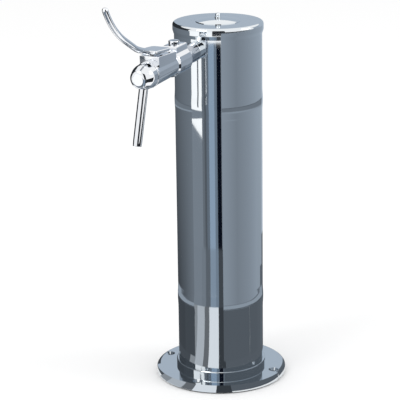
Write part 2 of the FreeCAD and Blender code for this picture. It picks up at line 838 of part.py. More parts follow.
column_parts = {
    "base_gasket": base_gasket, "base_flange": base_flange, "foot_ring": foot_ring,
    "column_tube": column_tube, "base_plug": base_plug, "inlet_connector": inlet_connector,
    "beer_line": beer_line, "foam_liner": foam_liner, "top_cap": top_cap, "cap_seal": cap_seal,
    "cap_dome": cap_dome, "acorn_nut": acorn_nut, "cap_bridge": cap_bridge, "cap_stud": cap_stud,
    "stud_nut": stud_nut, "outer_saddle": outer_saddle, "inner_saddle": inner_saddle,
}
tap_parts = {
    "shank_tube": shank_tube, "shank_nut": shank_nut, "tail_washer": tail_washer,
    "tail_nut": tail_nut, "tail_elbow": elbow_tail, "tap_collar": tap_collar,
    "tap_washer": tap_washer, "lock_ring": lock_ring, "tap_body": tap_body, "lever_pin": lever_pin,
    "flow_cone": flow_cone, "flow_adjuster": flow_adjuster, "adjuster_ring": adjuster_ring,
    "valve_piston": valve_piston, "piston_o_rings": piston_o_rings, "piston_seal": piston_seal,
    "valve_seat": valve_seat, "spout_head": spout_head, "spout_tube": spout_tube, "lever": lever,
}


def save(name, shape):
    if not shape.isValid():
        raise ValueError(name + " is not a valid solid")
    shape.exportStep("parts/" + name + ".step")
    box = shape.BoundBox
    print(name, len(shape.Solids), "solids", round(shape.Volume, 1), "mm3",
          [round(v, 1) for v in (box.XMin, box.YMin, box.ZMin, box.XMax, box.YMax, box.ZMax)])


os.makedirs("parts", exist_ok=True)
for name, make in column_parts.items():
    save(name, make())
for name, make in tap_parts.items():
    save(name, seated(make()))
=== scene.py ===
import json
import math

import bmesh
import bpy
from mathutils import Matrix, Vector


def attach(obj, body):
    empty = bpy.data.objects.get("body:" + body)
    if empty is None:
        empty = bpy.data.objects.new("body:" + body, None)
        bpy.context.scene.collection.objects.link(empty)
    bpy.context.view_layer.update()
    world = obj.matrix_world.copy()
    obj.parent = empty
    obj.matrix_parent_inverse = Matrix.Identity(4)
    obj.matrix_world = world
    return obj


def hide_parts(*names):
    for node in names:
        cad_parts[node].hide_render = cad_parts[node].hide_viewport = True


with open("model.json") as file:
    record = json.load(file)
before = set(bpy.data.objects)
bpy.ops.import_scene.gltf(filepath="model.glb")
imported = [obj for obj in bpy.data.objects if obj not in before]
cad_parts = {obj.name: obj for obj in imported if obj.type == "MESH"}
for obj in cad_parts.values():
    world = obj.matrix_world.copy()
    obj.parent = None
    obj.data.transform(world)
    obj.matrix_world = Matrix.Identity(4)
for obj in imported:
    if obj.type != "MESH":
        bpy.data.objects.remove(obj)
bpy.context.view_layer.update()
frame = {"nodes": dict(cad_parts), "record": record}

mm = 0.001
weldGap = 1e-5    # points this near are one point, in the piece's own millimetres
samePlace = 1e-4  # two places this near count as the same

# the tap sits on the column's face and droops a little towards the glass
tapSeat = {"face": 44.45, "height": 354.1, "droop": 3.5}
uprightPlace = Matrix.Scale(mm, 4)
tapPlace = (Matrix.Scale(mm, 4) @ Matrix.Translation((0, -tapSeat["face"], tapSeat["height"]))
            @ Matrix.Rotation(math.radians(tapSeat["droop"]), 4, "X"))
# for spun pieces: Z runs along the tap
tapAxisPlace = tapPlace @ Matrix.Rotation(math.radians(90), 4, "X")


# materials

def blankMaterial(name, kind="ShaderNodeBsdfPrincipled"):
    material = bpy.data.materials.new(name)
    material.use_nodes = True
    nodes = material.node_tree.nodes
    nodes.clear()
    output = nodes.new("ShaderNodeOutputMaterial")
    shader = nodes.new(kind)
    material.node_tree.links.new(shader.outputs[0], output.inputs["Surface"])
    return material, shader


# the noise between low and high is spread over the wanted roughness
grainDetail = {"cloud": 4.0, "fine": 2.0, "noiseLow": 0.3, "noiseHigh": 0.7}


def addGrain(material, shader, grain):
    # uneven polish: one noise moves the roughness, a finer one the surface
    nodes = material.node_tree.nodes
    links = material.node_tree.links
    coords = nodes.new("ShaderNodeTexCoord")
    stretch = nodes.new("ShaderNodeMapping")
    stretch.inputs["Scale"].default_value = grain["stretch"]
    links.new(coords.outputs["Object"], stretch.inputs["Vector"])
    cloud = nodes.new("ShaderNodeTexNoise")
    cloud.inputs["Scale"].default_value = grain["scale"]
    cloud.inputs["Detail"].default_value = grainDetail["cloud"]
    links.new(stretch.outputs["Vector"], cloud.inputs["Vector"])
    spread = nodes.new("ShaderNodeMapRange")
    spread.inputs["From Min"].default_value = grainDetail["noiseLow"]
    spread.inputs["From Max"].default_value = grainDetail["noiseHigh"]
    spread.inputs["To Min"].default_value = grain["roughness"][0]
    spread.inputs["To Max"].default_value = grain["roughness"][1]
    links.new(cloud.outputs["Fac"], spread.inputs["Value"])
    links.new(spread.outputs["Result"], shader.inputs["Roughness"])
    fine = nodes.new("ShaderNodeTexNoise")
    fine.inputs["Scale"].default_value = grain["scale"] * grain["fineness"]
    fine.inputs["Detail"].default_value = grainDetail["fine"]
    links.new(stretch.outputs["Vector"], fine.inputs["Vector"])
    bump = nodes.new("ShaderNodeBump")
    bump.inputs["Strength"].default_value = grain["bump"]
    bump.inputs["Distance"].default_value = grain["depth"]
    links.new(fine.outputs["Fac"], bump.inputs["Height"])
    links.new(bump.outputs["Normal"], shader.inputs["Normal"])


def metalFinish(name, color, grain):
    material, shader = blankMaterial(name)
    shader.inputs["Base Color"].default_value = (*color, 1)
    shader.inputs["Metallic"].default_value = 1.0
    addGrain(material, shader, grain)
    return material


def softFinish(name, color, grain, specular=0.5, clear=0.0):
    material, shader = blankMaterial(name)
    shader.inputs["Base Color"].default_value = (*color, 1)
    shader.inputs["Specular IOR Level"].default_value = specular
    shader.inputs["Transmission Weight"].default_value = clear
    addGrain(material, shader, grain)
    return material


finishes = {
    "brushed_column": metalFinish("drawnSteel", (0.80, 0.84, 0.87), {
        "scale": 60, "stretch": (1, 1, 0.15), "roughness": (0.035, 0.075), "fineness": 9, "bump": 0.05,
        "depth": 0.00004}),
    "polished_steel": metalFinish("polishedSteel", (0.80, 0.84, 0.87), {
        "scale": 70, "stretch": (1, 1, 1), "roughness": (0.03, 0.08), "fineness": 6, "bump": 0.04,
        "depth": 0.00004}),
    "plain_steel": metalFinish("plainSteel", (0.60, 0.60, 0.61), {
        "scale": 200, "stretch": (1, 1, 1), "roughness": (0.25, 0.40), "fineness": 5, "bump": 0.15,
        "depth": 0.00005}),
    "tap_chrome": metalFinish("tapChrome", (0.86, 0.88, 0.91), {
        "scale": 120, "stretch": (1, 1, 1), "roughness": (0.02, 0.06), "fineness": 5, "bump": 0.04,
        "depth": 0.00003}),
    "plated_brass": metalFinish("platedBrass", (0.66, 0.60, 0.46), {
        "scale": 150, "stretch": (1, 1, 1), "roughness": (0.25, 0.38), "fineness": 5, "bump": 0.12,
        "depth": 0.00005}),
    "black_rubber": softFinish("blackRubber", (0.025, 0.025, 0.027), {
        "scale": 300, "stretch": (1, 1, 1), "roughness": (0.55, 0.75), "fineness": 5, "bump": 0.25,
        "depth": 0.00006}, specular=0.3),
    "dark_plastic": softFinish("darkPlastic", (0.04, 0.04, 0.045), {
        "scale": 180, "stretch": (1, 1, 1), "roughness": (0.38, 0.52), "fineness": 6, "bump": 0.2,
        "depth": 0.00005}),
    "white_plastic": softFinish("whitePlastic", (0.82, 0.82, 0.79), {
        "scale": 160, "stretch": (1, 1, 1), "roughness": (0.22, 0.35), "fineness": 5, "bump": 0.12,
        "depth": 0.00004}),
    "clear_line": softFinish("milkyLine", (0.80, 0.84, 0.88), {
        "scale": 90, "stretch": (1, 1, 0.3), "roughness": (0.15, 0.28), "fineness": 4, "bump": 0.1,
        "depth": 0.00004}, clear=0.4),
    "insulating_foam": softFinish("openFoam", (0.74, 0.71, 0.60), {
        "scale": 240, "stretch": (1, 1, 1), "roughness": (0.80, 0.95), "fineness": 3, "bump": 0.7,
        "depth": 0.0006}, specular=0.1),
}
# painted shade: a darker chrome colour standing in for the dark reflections on the tap's collar and
# lock ring
paintedShadeChrome = metalFinish("paintedShadeChrome", (0.50, 0.53, 0.58), {
    "scale": 120, "stretch": (1, 1, 1), "roughness": (0.04, 0.09), "fineness": 5, "bump": 0.05,
    "depth": 0.00003})
paintedShadeNodes = ("tap_collar", "lock_ring")  # the turned rings get a darker chrome colour: painted shade for the dark surroundings they mirror
slotOfNode = {part["node"]: part["material_slot"] for part in frame["record"]["subparts"]}


def finishOf(nodeName):
    return paintedShadeChrome if nodeName in paintedShadeNodes else finishes[slotOfNode[nodeName]]


for nodeName, cadObject in frame["nodes"].items():
    cadObject.data.materials.clear()
    cadObject.data.materials.append(finishOf(nodeName))
print("stage: finishes on", len(frame["nodes"]), "pieces")


# shaping

def ringTurn(rings, index):
    # how far the outline turns at one ring, in radians
    here = Vector(rings[index][:2])
    back = here - Vector(rings[index - 1][:2])
    ahead = Vector(rings[(index + 1) % len(rings)][:2]) - here
    return back.angle(ahead, 0.0)


def spun(rings, segments=160, steps=6):
    # closed outline of (reach, height, rounding) turned about Z, then each rounded ring is bevelled
    mesh = bmesh.new()
    corners = [mesh.verts.new((reach, 0, height)) for reach, height, rounding in rings]
    for first, second in zip(corners, corners[1:] + corners[:1]):
        mesh.edges.new((first, second))
    bmesh.ops.spin(mesh, geom=mesh.verts[:] + mesh.edges[:], cent=(0, 0, 0), axis=(0, 0, 1),
                   dvec=(0, 0, 0), angle=math.tau, steps=segments, use_merge=True)
    bmesh.ops.remove_doubles(mesh, verts=mesh.verts, dist=weldGap)
    bmesh.ops.dissolve_degenerate(mesh, edges=mesh.edges, dist=weldGap)
    for index, (reach, height, rounding) in enumerate(rings):
        if rounding > 0:
            ring = [e for e in mesh.edges if all(
                abs(v.co.z - height) < samePlace and abs(v.co.xy.length - reach) < samePlace
                for v in e.verts)]
            run = rounding * math.tan(ringTurn(rings, index) / 2)
            bmesh.ops.bevel(mesh, geom=ring, offset=run, offset_type="OFFSET", affect="EDGES",
                            segments=steps, profile=0.5, material=-1, clamp_overlap=False)
    bmesh.ops.recalc_face_normals(mesh, faces=mesh.faces)
    return mesh


def climb(edge):
    return abs(edge.verts[0].co.z - edge.verts[1].co.z)


def block(size, centre, rounding=0.0, steps=8):
    # box whose level edges may be softened
    mesh = bmesh.new()
    bmesh.ops.create_cube(mesh, size=1.0)
    bmesh.ops.scale(mesh, vec=size, verts=mesh.verts)
    if rounding > 0:
        level = [e for e in mesh.edges if climb(e) < samePlace]
        bmesh.ops.bevel(mesh, geom=level, offset=rounding, offset_type="OFFSET", affect="EDGES",
                        segments=steps, profile=0.5, material=-1, clamp_overlap=True)
    bmesh.ops.translate(mesh, vec=centre, verts=mesh.verts)
    return mesh


def drum(reach, length, start, direction="Z", segments=96):
    # plain round bar from start along one axis
    mesh = bmesh.new()
    bmesh.ops.create_cone(mesh, cap_ends=True, segments=segments, radius1=reach, radius2=reach,
                          depth=length)
    bmesh.ops.translate(mesh, vec=(0, 0, length / 2), verts=mesh.verts)
    if direction == "X":
        bmesh.ops.rotate(mesh, verts=mesh.verts, cent=(0, 0, 0),
                         matrix=Matrix.Rotation(math.radians(90), 3, "Y"))
    bmesh.ops.translate(mesh, vec=start, verts=mesh.verts)
    return mesh


def plate(outline, halfWidth):
    # outline of (y, z) points pushed out both ways along X
    mesh = bmesh.new()
    face = mesh.faces.new([mesh.verts.new((-halfWidth, y, z)) for y, z in outline])
    grown = bmesh.ops.extrude_face_region(mesh, geom=[face])["geom"]
    moved = [item for item in grown if isinstance(item, bmesh.types.BMVert)]
    bmesh.ops.translate(mesh, vec=(2 * halfWidth, 0, 0), verts=moved)
    bmesh.ops.recalc_face_normals(mesh, faces=mesh.faces)
    return mesh


def solidObject(name, mesh, place):
    bmesh.ops.transform(mesh, matrix=place, verts=mesh.verts)
    data = bpy.data.meshes.new(name)
    mesh.to_mesh(data)
    mesh.free()
    piece = bpy.data.objects.new(name, data)
    bpy.context.scene.collection.objects.link(piece)
    return piece


def combine(piece, other, operation):
    # one exact boolean, applied, and the other object is used up
    cut = piece.modifiers.new("cut", "BOOLEAN")
    cut.operation = operation
    cut.solver = "EXACT"
    cut.object = other
    bpy.context.view_layer.objects.active = piece
    bpy.ops.object.modifier_apply(modifier=cut.name)
    bpy.data.objects.remove(other)


sharpAngle = 34  # degrees; edges that turn more stay hard


def finishPiece(piece, node, body="tower"):
    # smooth faces between hard edges, then the piece takes over its node
    data = piece.data
    data.polygons.foreach_set("use_smooth", [True] * len(data.polygons))
    data.set_sharp_from_angle(angle=math.radians(sharpAngle))
    flatFaces = piece.modifiers.new("flatFaces", "WEIGHTED_NORMAL")
    flatFaces.keep_sharp = True
    data.materials.clear()
    data.materials.append(finishOf(node))
    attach(piece, body)
    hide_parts(node)


# foot

footSizes = {
    "flangeReach": 68.0, "flangeLow": 1.2, "flangeTop": 9.2, "edge": 4.0, "underEdge": 0.4,
    "opening": 30.0, "openingEdge": 0.6, "segments": 256, "edgeSteps": 10,
    "spigotReach": 42.9, "spigotWall": 3.0, "spigotTop": 27.2, "spigotEdges": (1.0, 0.6),
    "boltCount": 4, "boltCircle": 60.0, "boltTurn": 4.0, "boltHole": 2.75, "boltSink": 5.2,
    "boltPast": 1.0, "boltSegments": 48,
    "ringInner": 44.5, "ringOuter": 46.85, "ringTop": 15.0, "ringEdge": 1.2,
}


def footFlange():
    s = footSizes
    inner = s["spigotReach"] - s["spigotWall"]
    outerEdge, innerEdge = s["spigotEdges"]
    flange = solidObject("footFlange", spun([
        (s["opening"], s["flangeLow"], 0), (s["flangeReach"], s["flangeLow"], s["underEdge"]),
        (s["flangeReach"], s["flangeTop"], s["edge"]), (s["spigotReach"], s["flangeTop"], 0),
        (s["spigotReach"], s["spigotTop"], outerEdge), (inner, s["spigotTop"], innerEdge),
        (inner, s["flangeTop"], 0), (s["opening"], s["flangeTop"], s["openingEdge"])],
        s["segments"], s["edgeSteps"]), uprightPlace)
    sinkDepth = s["boltSink"] - s["boltHole"]
    below = -s["boltPast"]
    above = s["flangeTop"] + s["boltPast"]
    for index in range(s["boltCount"]):
        turn = math.radians(s["boltTurn"] - 90 + 360 / s["boltCount"] * index)
        centre = Vector((s["boltCircle"] * math.cos(turn), s["boltCircle"] * math.sin(turn), 0))
        way = spun([(0, below, 0), (s["boltHole"], below, 0),
                    (s["boltHole"], s["flangeTop"] - sinkDepth, 0), (s["boltSink"], s["flangeTop"], 0),
                    (s["boltSink"], above, 0), (0, above, 0)], s["boltSegments"])
        cutter = solidObject("boltWay", way, uprightPlace @ Matrix.Translation(centre))
        combine(flange, cutter, "DIFFERENCE")
    finishPiece(flange, "base_flange")


def footRing():
    s = footSizes
    ring = spun([(s["ringInner"], s["flangeTop"], 0), (s["ringOuter"], s["flangeTop"], 0),
                 (s["ringOuter"], s["ringTop"], s["ringEdge"]), (s["ringInner"], s["ringTop"], 0)],
                s["segments"])
    finishPiece(solidObject("footRing", ring, uprightPlace), "foot_ring")


footFlange()
footRing()
print("stage: foot")


# column and cap

columnSizes = {
    "reach": 44.45, "wall": 1.5, "low": 9.2, "top": 372.8, "bands": (84.7, 295.5),
    "bandSpan": 10.4, "bandRise": 0.6, "bandSoftness": 70.0, "segments": 320,
}
capSizes = {
    "reach": 45.95, "skirt": 44.5, "low": 364.1, "curl": 367.7, "curlIn": 44.8, "under": 373.8,
    "top": 375.6, "edge": 3.0, "curlEdge": 2.0, "segments": 256, "edgeSteps": 8, "studHole": 1.55,
    "domeReach": 22.6, "domeRim": 0.5, "domeRise": 3.3, "domeSegments": 160, "domeSteps": 24,
    "nutBase": 3.2, "nutLow": 378.9, "nutStep": 1.2, "ball": 2.5, "ballShown": 0.58,
}


def columnTube():
    s = columnSizes
    outer = [(s["reach"], s["low"], 0)]
    for band in s["bands"]:
        outer += [(s["reach"], band - s["bandSpan"], s["bandSoftness"]),
                  (s["reach"] + s["bandRise"], band, s["bandSoftness"]),
                  (s["reach"], band + s["bandSpan"], s["bandSoftness"])]
    outer.append((s["reach"], s["top"], 0))
    inner = [(reach - s["wall"], height, 0) for reach, height, rounding in outer[::-1]]
    tube = spun(outer + inner, s["segments"])
    finishPiece(solidObject("columnTube", tube, uprightPlace), "column_tube")


def topCap():
    s = capSizes
    cap = spun([(s["studHole"], s["top"], 0), (s["reach"], s["top"], s["edge"]),
                (s["reach"], s["curl"], s["curlEdge"]), (s["curlIn"], s["low"], 0),
                (s["skirt"], s["low"], 0), (s["skirt"], s["under"], 0), (s["studHole"], s["under"], 0)],
               s["segments"], s["edgeSteps"])
    finishPiece(solidObject("topCap", cap, uprightPlace), "top_cap")


def capDome():
    # the outline is an arc spun from one point, then the whole is spun about the column
    s = capSizes
    rise = s["domeRise"] - s["domeRim"]
    ball = (s["domeReach"] ** 2 + rise ** 2) / (2 * rise)
    crown = s["top"] + s["domeRise"]
    mesh = bmesh.new()
    start = mesh.verts.new((0, 0, crown))
    bmesh.ops.spin(mesh, geom=[start], cent=(0, 0, crown - ball), axis=(0, 1, 0), dvec=(0, 0, 0),
                   angle=math.asin(s["domeReach"] / ball), steps=s["domeSteps"])
    rim = max(mesh.verts, key=lambda v: v.co.x)
    foot = mesh.verts.new((rim.co.x, 0, s["top"]))
    middle = mesh.verts.new((0, 0, s["top"]))
    mesh.edges.new((rim, foot))
    mesh.edges.new((foot, middle))
    bmesh.ops.spin(mesh, geom=mesh.verts[:] + mesh.edges[:], cent=(0, 0, 0), axis=(0, 0, 1),
                   dvec=(0, 0, 0), angle=math.tau, steps=s["domeSegments"], use_merge=True)
    bmesh.ops.remove_doubles(mesh, verts=mesh.verts, dist=samePlace)
    bmesh.ops.dissolve_degenerate(mesh, edges=mesh.edges, dist=weldGap)
    bmesh.ops.recalc_face_normals(mesh, faces=mesh.faces)
    finishPiece(solidObject("capDome", mesh, uprightPlace), "cap_dome")


def ballNut():
    s = capSizes
    base = drum(s["nutBase"], s["nutStep"], (0, 0, s["nutLow"]), segments=64)
    ballHeight = s["nutLow"] + s["nutStep"] + s["ball"] * s["ballShown"]
    bmesh.ops.create_uvsphere(base, u_segments=48, v_segments=32, radius=s["ball"],
                              matrix=Matrix.Translation((0, 0, ballHeight)))
    finishPiece(solidObject("ballNut", base, uprightPlace), "acorn_nut")


columnTube()
topCap()
capDome()
ballNut()
print("stage: column and cap")


# tap

tapSizes = {
    # a group gives start and end along the tap, then a reach or a height and a half width
    "saddle": (-1.3, 9.3, 9.2), "saddleBore": 7.95, "saddleEdge": 0.6, "saddleSegments": 128,
    "collar": (9.3, 27.5, 9.6), "collarLip": 24.5, "collarBore": 7.9, "collarEdge": 1.1, "tail": 6.4,
    "ring": (28.0, 31.4, 10.6), "ringEdge": 0.9, "flange": (21.5, 24.1, 7.6),
    "body": (31.8, 96.5), "rear": 13.4, "rearEnd": 56.0, "rearEdges": (2.4, 1.6),
    "waist": 11.9, "waistRun": 2.4, "waistEdge": 1.2, "front": 12.5, "frontEdge": 0.4,
    "bodySegments": 192, "boss": (33.5, 55.0, 17.2, 8.2), "bossEdge": 2.6, "blockFoot": 2.0,
    "housing": (60.0, 93.0, 10.5), "housingTop": (14.6, 17.4), "housingEdge": 0.9,
    "trough": (64.5, 91.2, 8.9, 3.4), "troughCut": 14, "chamber": (41.0, 93.5, 7.5),
    "seatStart": 34.0, "tailBore": 4.0, "tailStart": 20, "mouth": 10.0, "pastFront": 99,
    "adjuster": 45.0, "adjusterHole": (3.06, 6, 14),
}


def outerSaddle():
    s = tapSizes
    start, end, reach = s["saddle"]
    saddle = spun([(s["saddleBore"], start, 0), (reach, start, 0), (reach, end, s["saddleEdge"]),
                   (s["saddleBore"], end, 0)], s["saddleSegments"])
    finishPiece(solidObject("outerSaddle", saddle, tapAxisPlace), "outer_saddle")


def tapCollar():
    s = tapSizes
    start, end, reach = s["collar"]
    collar = spun([(s["collarBore"], start, 0), (reach, start, s["collarEdge"]),
                   (reach, end, s["collarEdge"]), (s["tail"], end, 0), (s["tail"], s["collarLip"], 0),
                   (s["collarBore"], s["collarLip"], 0)])
    finishPiece(solidObject("tapCollar", collar, tapAxisPlace), "tap_collar")


def lockRing():
    s = tapSizes
    start, end, reach = s["ring"]
    ring = spun([(s["tail"], start, 0), (reach, start, s["ringEdge"]), (reach, end, s["ringEdge"]),
                 (s["tail"], end, 0)])
    finishPiece(solidObject("lockRing", ring, tapAxisPlace), "lock_ring")


def tapBody():
    s = tapSizes
    bodyStart, bodyEnd = s["body"]
    flangeStart, flangeEnd, flangeReach = s["flange"]
    rearEdge, stepEdge = s["rearEdges"]
    body = solidObject("tapBody", spun([
        (0, flangeStart, 0), (flangeReach, flangeStart, 0), (flangeReach, flangeEnd, 0),
        (s["tail"], flangeEnd, 0), (s["tail"], bodyStart, 0), (s["rear"], bodyStart, rearEdge),
        (s["rear"], s["rearEnd"], stepEdge), (s["waist"], s["rearEnd"] + s["waistRun"], s["waistEdge"]),
        (s["front"], bodyEnd, s["frontEdge"]), (0, bodyEnd, 0)], s["bodySegments"]), tapAxisPlace)

    start, end, half = s["housing"]  # carries the lever
    rearTop, frontTop = s["housingTop"]
    low = s["blockFoot"]
    housing = plate([(-start, low), (-start, rearTop), (-end, frontTop), (-end, low)], half)
    topEdges = [e for e in housing.edges if min(v.co.z for v in e.verts) > rearTop - samePlace]
    bmesh.ops.bevel(housing, geom=topEdges, offset=s["housingEdge"], affect="EDGES", segments=5,
                    profile=0.5, material=-1)
    combine(body, solidObject("housing", housing, tapPlace), "UNION")

    start, end, top, half = s["boss"]  # carries the adjuster
    boss = block((2 * half, end - start, top - low), (0, -(start + end) / 2, (top + low) / 2),
                 s["bossEdge"])
    combine(body, solidObject("boss", boss, tapPlace), "UNION")

    start, end, reach = s["chamber"]  # the drink's way, the slot for the lever and the adjuster's hole
    tailStart = s["tailStart"]
    way = spun([(0, tailStart, 0), (s["tailBore"], tailStart, 0), (s["tailBore"], s["seatStart"], 0),
                (reach, start, 0), (reach, end, 0), (s["mouth"], end, 0),
                (s["mouth"], s["pastFront"], 0), (0, s["pastFront"], 0)], 96)
    combine(body, solidObject("way", way, tapAxisPlace), "DIFFERENCE")
    start, end, floor, half = s["trough"]
    trough = block((2 * half, end - start, s["troughCut"]),
                   (0, -(start + end) / 2, floor + s["troughCut"] / 2))
    combine(body, solidObject("trough", trough, tapPlace), "DIFFERENCE")
    reach, low, length = s["adjusterHole"]
    hole = drum(reach, length, (0, -s["adjuster"], low))
    combine(body, solidObject("hole", hole, tapPlace), "DIFFERENCE")
    finishPiece(body, "tap_body")


headSizes = {
    "spigot": (95.0, 9.9), "start": 96.5, "band": 98.5, "bandReach": 12.9, "shoulder": 12.5,
    "bandEdge": 0.6, "bandFall": 0.3, "bulge": (12.2, 107.5, 13.0), "nose": (8.4, 116.5, 4.4),
    "segments": 192, "edgeSteps": 14, "cavity": (6.4, 111.5), "tubeReach": 4.4, "tubeBore": 3.5,
    "seatDepth": 20, "root": (104.6, -5.6), "lean": 18.7, "length": 60.4,
    "tipRun": 5, "tipEdge": 0.3, "tubeSegments": 96,
}


def tubePlace():
    station, height = headSizes["root"]
    downAndOut = Matrix.Rotation(math.radians(180 - headSizes["lean"]), 4, "X")
    return tapPlace @ Matrix.Translation((0, -station, height)) @ downAndOut


def spoutHead():
    s = headSizes
    spigotStart, spigotReach = s["spigot"]
    cavityReach, cavityEnd = s["cavity"]
    head = solidObject("spoutHead", spun([
        (0, cavityEnd, 0), (cavityReach, cavityEnd, 0), (cavityReach, spigotStart, 0),
        (spigotReach, spigotStart, 0), (spigotReach, s["start"], 0),
        (s["bandReach"], s["start"], s["bandEdge"]), (s["bandReach"], s["band"], s["bandEdge"]),
        (s["shoulder"], s["band"] + s["bandFall"], 0), s["bulge"], s["nose"],
        (0, s["nose"][1], 0)], s["segments"], s["edgeSteps"]), tapAxisPlace)
    bore = solidObject("bore", drum(s["tubeReach"], s["seatDepth"], (0, 0, 0)), tubePlace())
    combine(head, bore, "DIFFERENCE")
    finishPiece(head, "spout_head")


def spoutTube():
    s = headSizes
    tube = spun([(s["tubeBore"], 0, 0), (s["tubeReach"], 0, 0),
                 (s["tubeReach"], s["length"] - s["tipRun"], 0),
                 (s["tubeReach"] - s["tipEdge"], s["length"], s["tipEdge"]),
                 (s["tubeBore"], s["length"], 0)], s["tubeSegments"])
    finishPiece(solidObject("spoutTube", tube, tubePlace()), "spout_tube")


leverSizes = {
    "plateRear": (68.0, 20.3), "plateFront": (97.0, 23.6), "thick": 2.9, "half": 10.5,
    "rearCorner": 5.0, "frontCorner": 2.0, "edge": 1.2, "webHalf": 3.0,
    "pivot": (86.0, 12.6), "hub": 3.6, "hubInset": 0.01, "pinHole": 2.06, "pinCut": 20,
    "web": ((77.8, 18.85), (77.8, 3.4), (82.2, 3.4), (82.2, 10.4), (89.2, 12.6), (89.2, 20.2)),
    "rod": 2.9, "rodSegments": 48, "rodStart": (93.0, 20.9), "corner": (115.0, 29.07),
    "neckBend": 40.0, "straight": 25.2, "rise": 33.5, "endRise": 64.8, "longBend": 84.7,
    "tipShare": 0.999,
}


def leverPlate():
    s = leverSizes
    rear = Vector(s["plateRear"])
    front = Vector(s["plateFront"])
    length = (front - rear).length
    slope = math.atan2(front.y - rear.y, front.x - rear.x)
    mesh = bmesh.new()
    bmesh.ops.create_cube(mesh, size=1.0)
    bmesh.ops.scale(mesh, vec=(2 * s["half"], length, s["thick"]), verts=mesh.verts)
    for side, corner in ((1, s["rearCorner"]), (-1, s["frontCorner"])):
        upright = [e for e in mesh.edges if climb(e) > samePlace and e.verts[0].co.y * side > 0]
        bmesh.ops.bevel(mesh, geom=upright, offset=corner, affect="EDGES", segments=10, profile=0.5,
                        material=-1)
    rim = [e for e in mesh.edges if climb(e) < samePlace]
    bmesh.ops.bevel(mesh, geom=rim, offset=s["edge"], affect="EDGES", segments=6, profile=0.5,
                    material=-1)
    bmesh.ops.translate(mesh, vec=(0, -length / 2, -s["thick"] / 2), verts=mesh.verts)
    bmesh.ops.rotate(mesh, verts=mesh.verts, cent=(0, 0, 0), matrix=Matrix.Rotation(-slope, 3, "X"))
    bmesh.ops.translate(mesh, vec=(0, -rear.x, rear.y), verts=mesh.verts)
    return mesh


def leverRod():
    # a ring is pushed and swung: straight, the neck's bend, straight again, the long bend
    s = leverSizes
    start = Vector((0, -s["rodStart"][0], s["rodStart"][1]))
    corner = Vector((0, -s["corner"][0], s["corner"][1]))
    neckRise = math.atan2(corner.z - start.z, start.y - corner.y)
    rise = math.radians(s["rise"])
    turn = rise - neckRise
    run = s["neckBend"] * math.tan(turn / 2)
    mesh = bmesh.new()
    ring = bmesh.ops.create_circle(mesh, cap_ends=True, segments=s["rodSegments"],
                                    radius=s["rod"])["verts"]
    bmesh.ops.rotate(mesh, verts=ring, cent=(0, 0, 0),
                     matrix=Matrix.Rotation(math.radians(90) - neckRise, 3, "X"))
    bmesh.ops.translate(mesh, vec=start, verts=ring)
    edges = list({e for v in ring for e in v.link_edges})

    def along(angle):
        return Vector((0, -math.cos(angle), math.sin(angle)))

    def above(angle):
        return Vector((0, math.sin(angle), math.cos(angle)))

    def push(edges, angle, length):
        grown = bmesh.ops.extrude_edge_only(mesh, edges=edges)["geom"]
        moved = [g for g in grown if isinstance(g, bmesh.types.BMVert)]
        bmesh.ops.translate(mesh, vec=along(angle) * length, verts=moved)
        return [g for g in grown if isinstance(g, bmesh.types.BMEdge)
                and all(v in moved for v in g.verts)]

    def swing(edges, centre, angle, steps):
        done = bmesh.ops.spin(mesh, geom=edges, cent=centre, axis=(1, 0, 0), dvec=(0, 0, 0),
                              angle=-angle, steps=steps)["geom_last"]
        return [g for g in done if isinstance(g, bmesh.types.BMEdge)]

    edges = push(edges, neckRise, (corner - start).length - run)
    bendStart = corner - along(neckRise) * run
    edges = swing(edges, bendStart + above(neckRise) * s["neckBend"], turn, 6)
    edges = push(edges, rise, s["straight"] - run)
    bendStart = corner + along(rise) * s["straight"]
    sweep = math.radians(s["endRise"]) - rise
    edges = swing(edges, bendStart + above(rise) * s["longBend"], sweep, 20)
    tip = sum((v.co for v in {v for e in edges for v in e.verts}), Vector()) / s["rodSegments"]
    bmesh.ops.contextual_create(mesh, geom=edges)
    bmesh.ops.recalc_face_normals(mesh, faces=mesh.faces)
    return mesh, tip


def lever():
    s = leverSizes
    rodMesh, tip = leverRod()
    lever = solidObject("lever", leverPlate(), tapPlace)
    combine(lever, solidObject("rod", rodMesh, tapPlace), "UNION")
    ball = bmesh.new()
    bmesh.ops.create_uvsphere(ball, u_segments=48, v_segments=24,
                              radius=s["rod"] * s["tipShare"], matrix=Matrix.Translation(tip))
    combine(lever, solidObject("tip", ball, tapPlace), "UNION")
    web = plate([(-station, height) for station, height in s["web"]], s["webHalf"])
    combine(lever, solidObject("web", web, tapPlace), "UNION")
    station, height = s["pivot"]
    hub = drum(s["hub"], 2 * (s["webHalf"] - s["hubInset"]),
               (s["hubInset"] - s["webHalf"], -station, height), "X")
    combine(lever, solidObject("hub", hub, tapPlace), "UNION")
    hole = drum(s["pinHole"], s["pinCut"], (-s["pinCut"] / 2, -station, height), "X", 48)
    combine(lever, solidObject("pinHole", hole, tapPlace), "DIFFERENCE")
    finishPiece(lever, "lever", "lever")


adjusterSizes = {
    "seat": 17.4, "top": 20.8, "head": 5.4, "headEdges": (0.4, 1.0), "stem": 3.0, "stemFoot": 8.2,
    "segments": 96, "pin": 1.2, "pinOffset": 1.6, "pinFoot": 4.6, "pinInside": 0.5,
    "slot": 1.3, "slotDepth": 1.4,
}


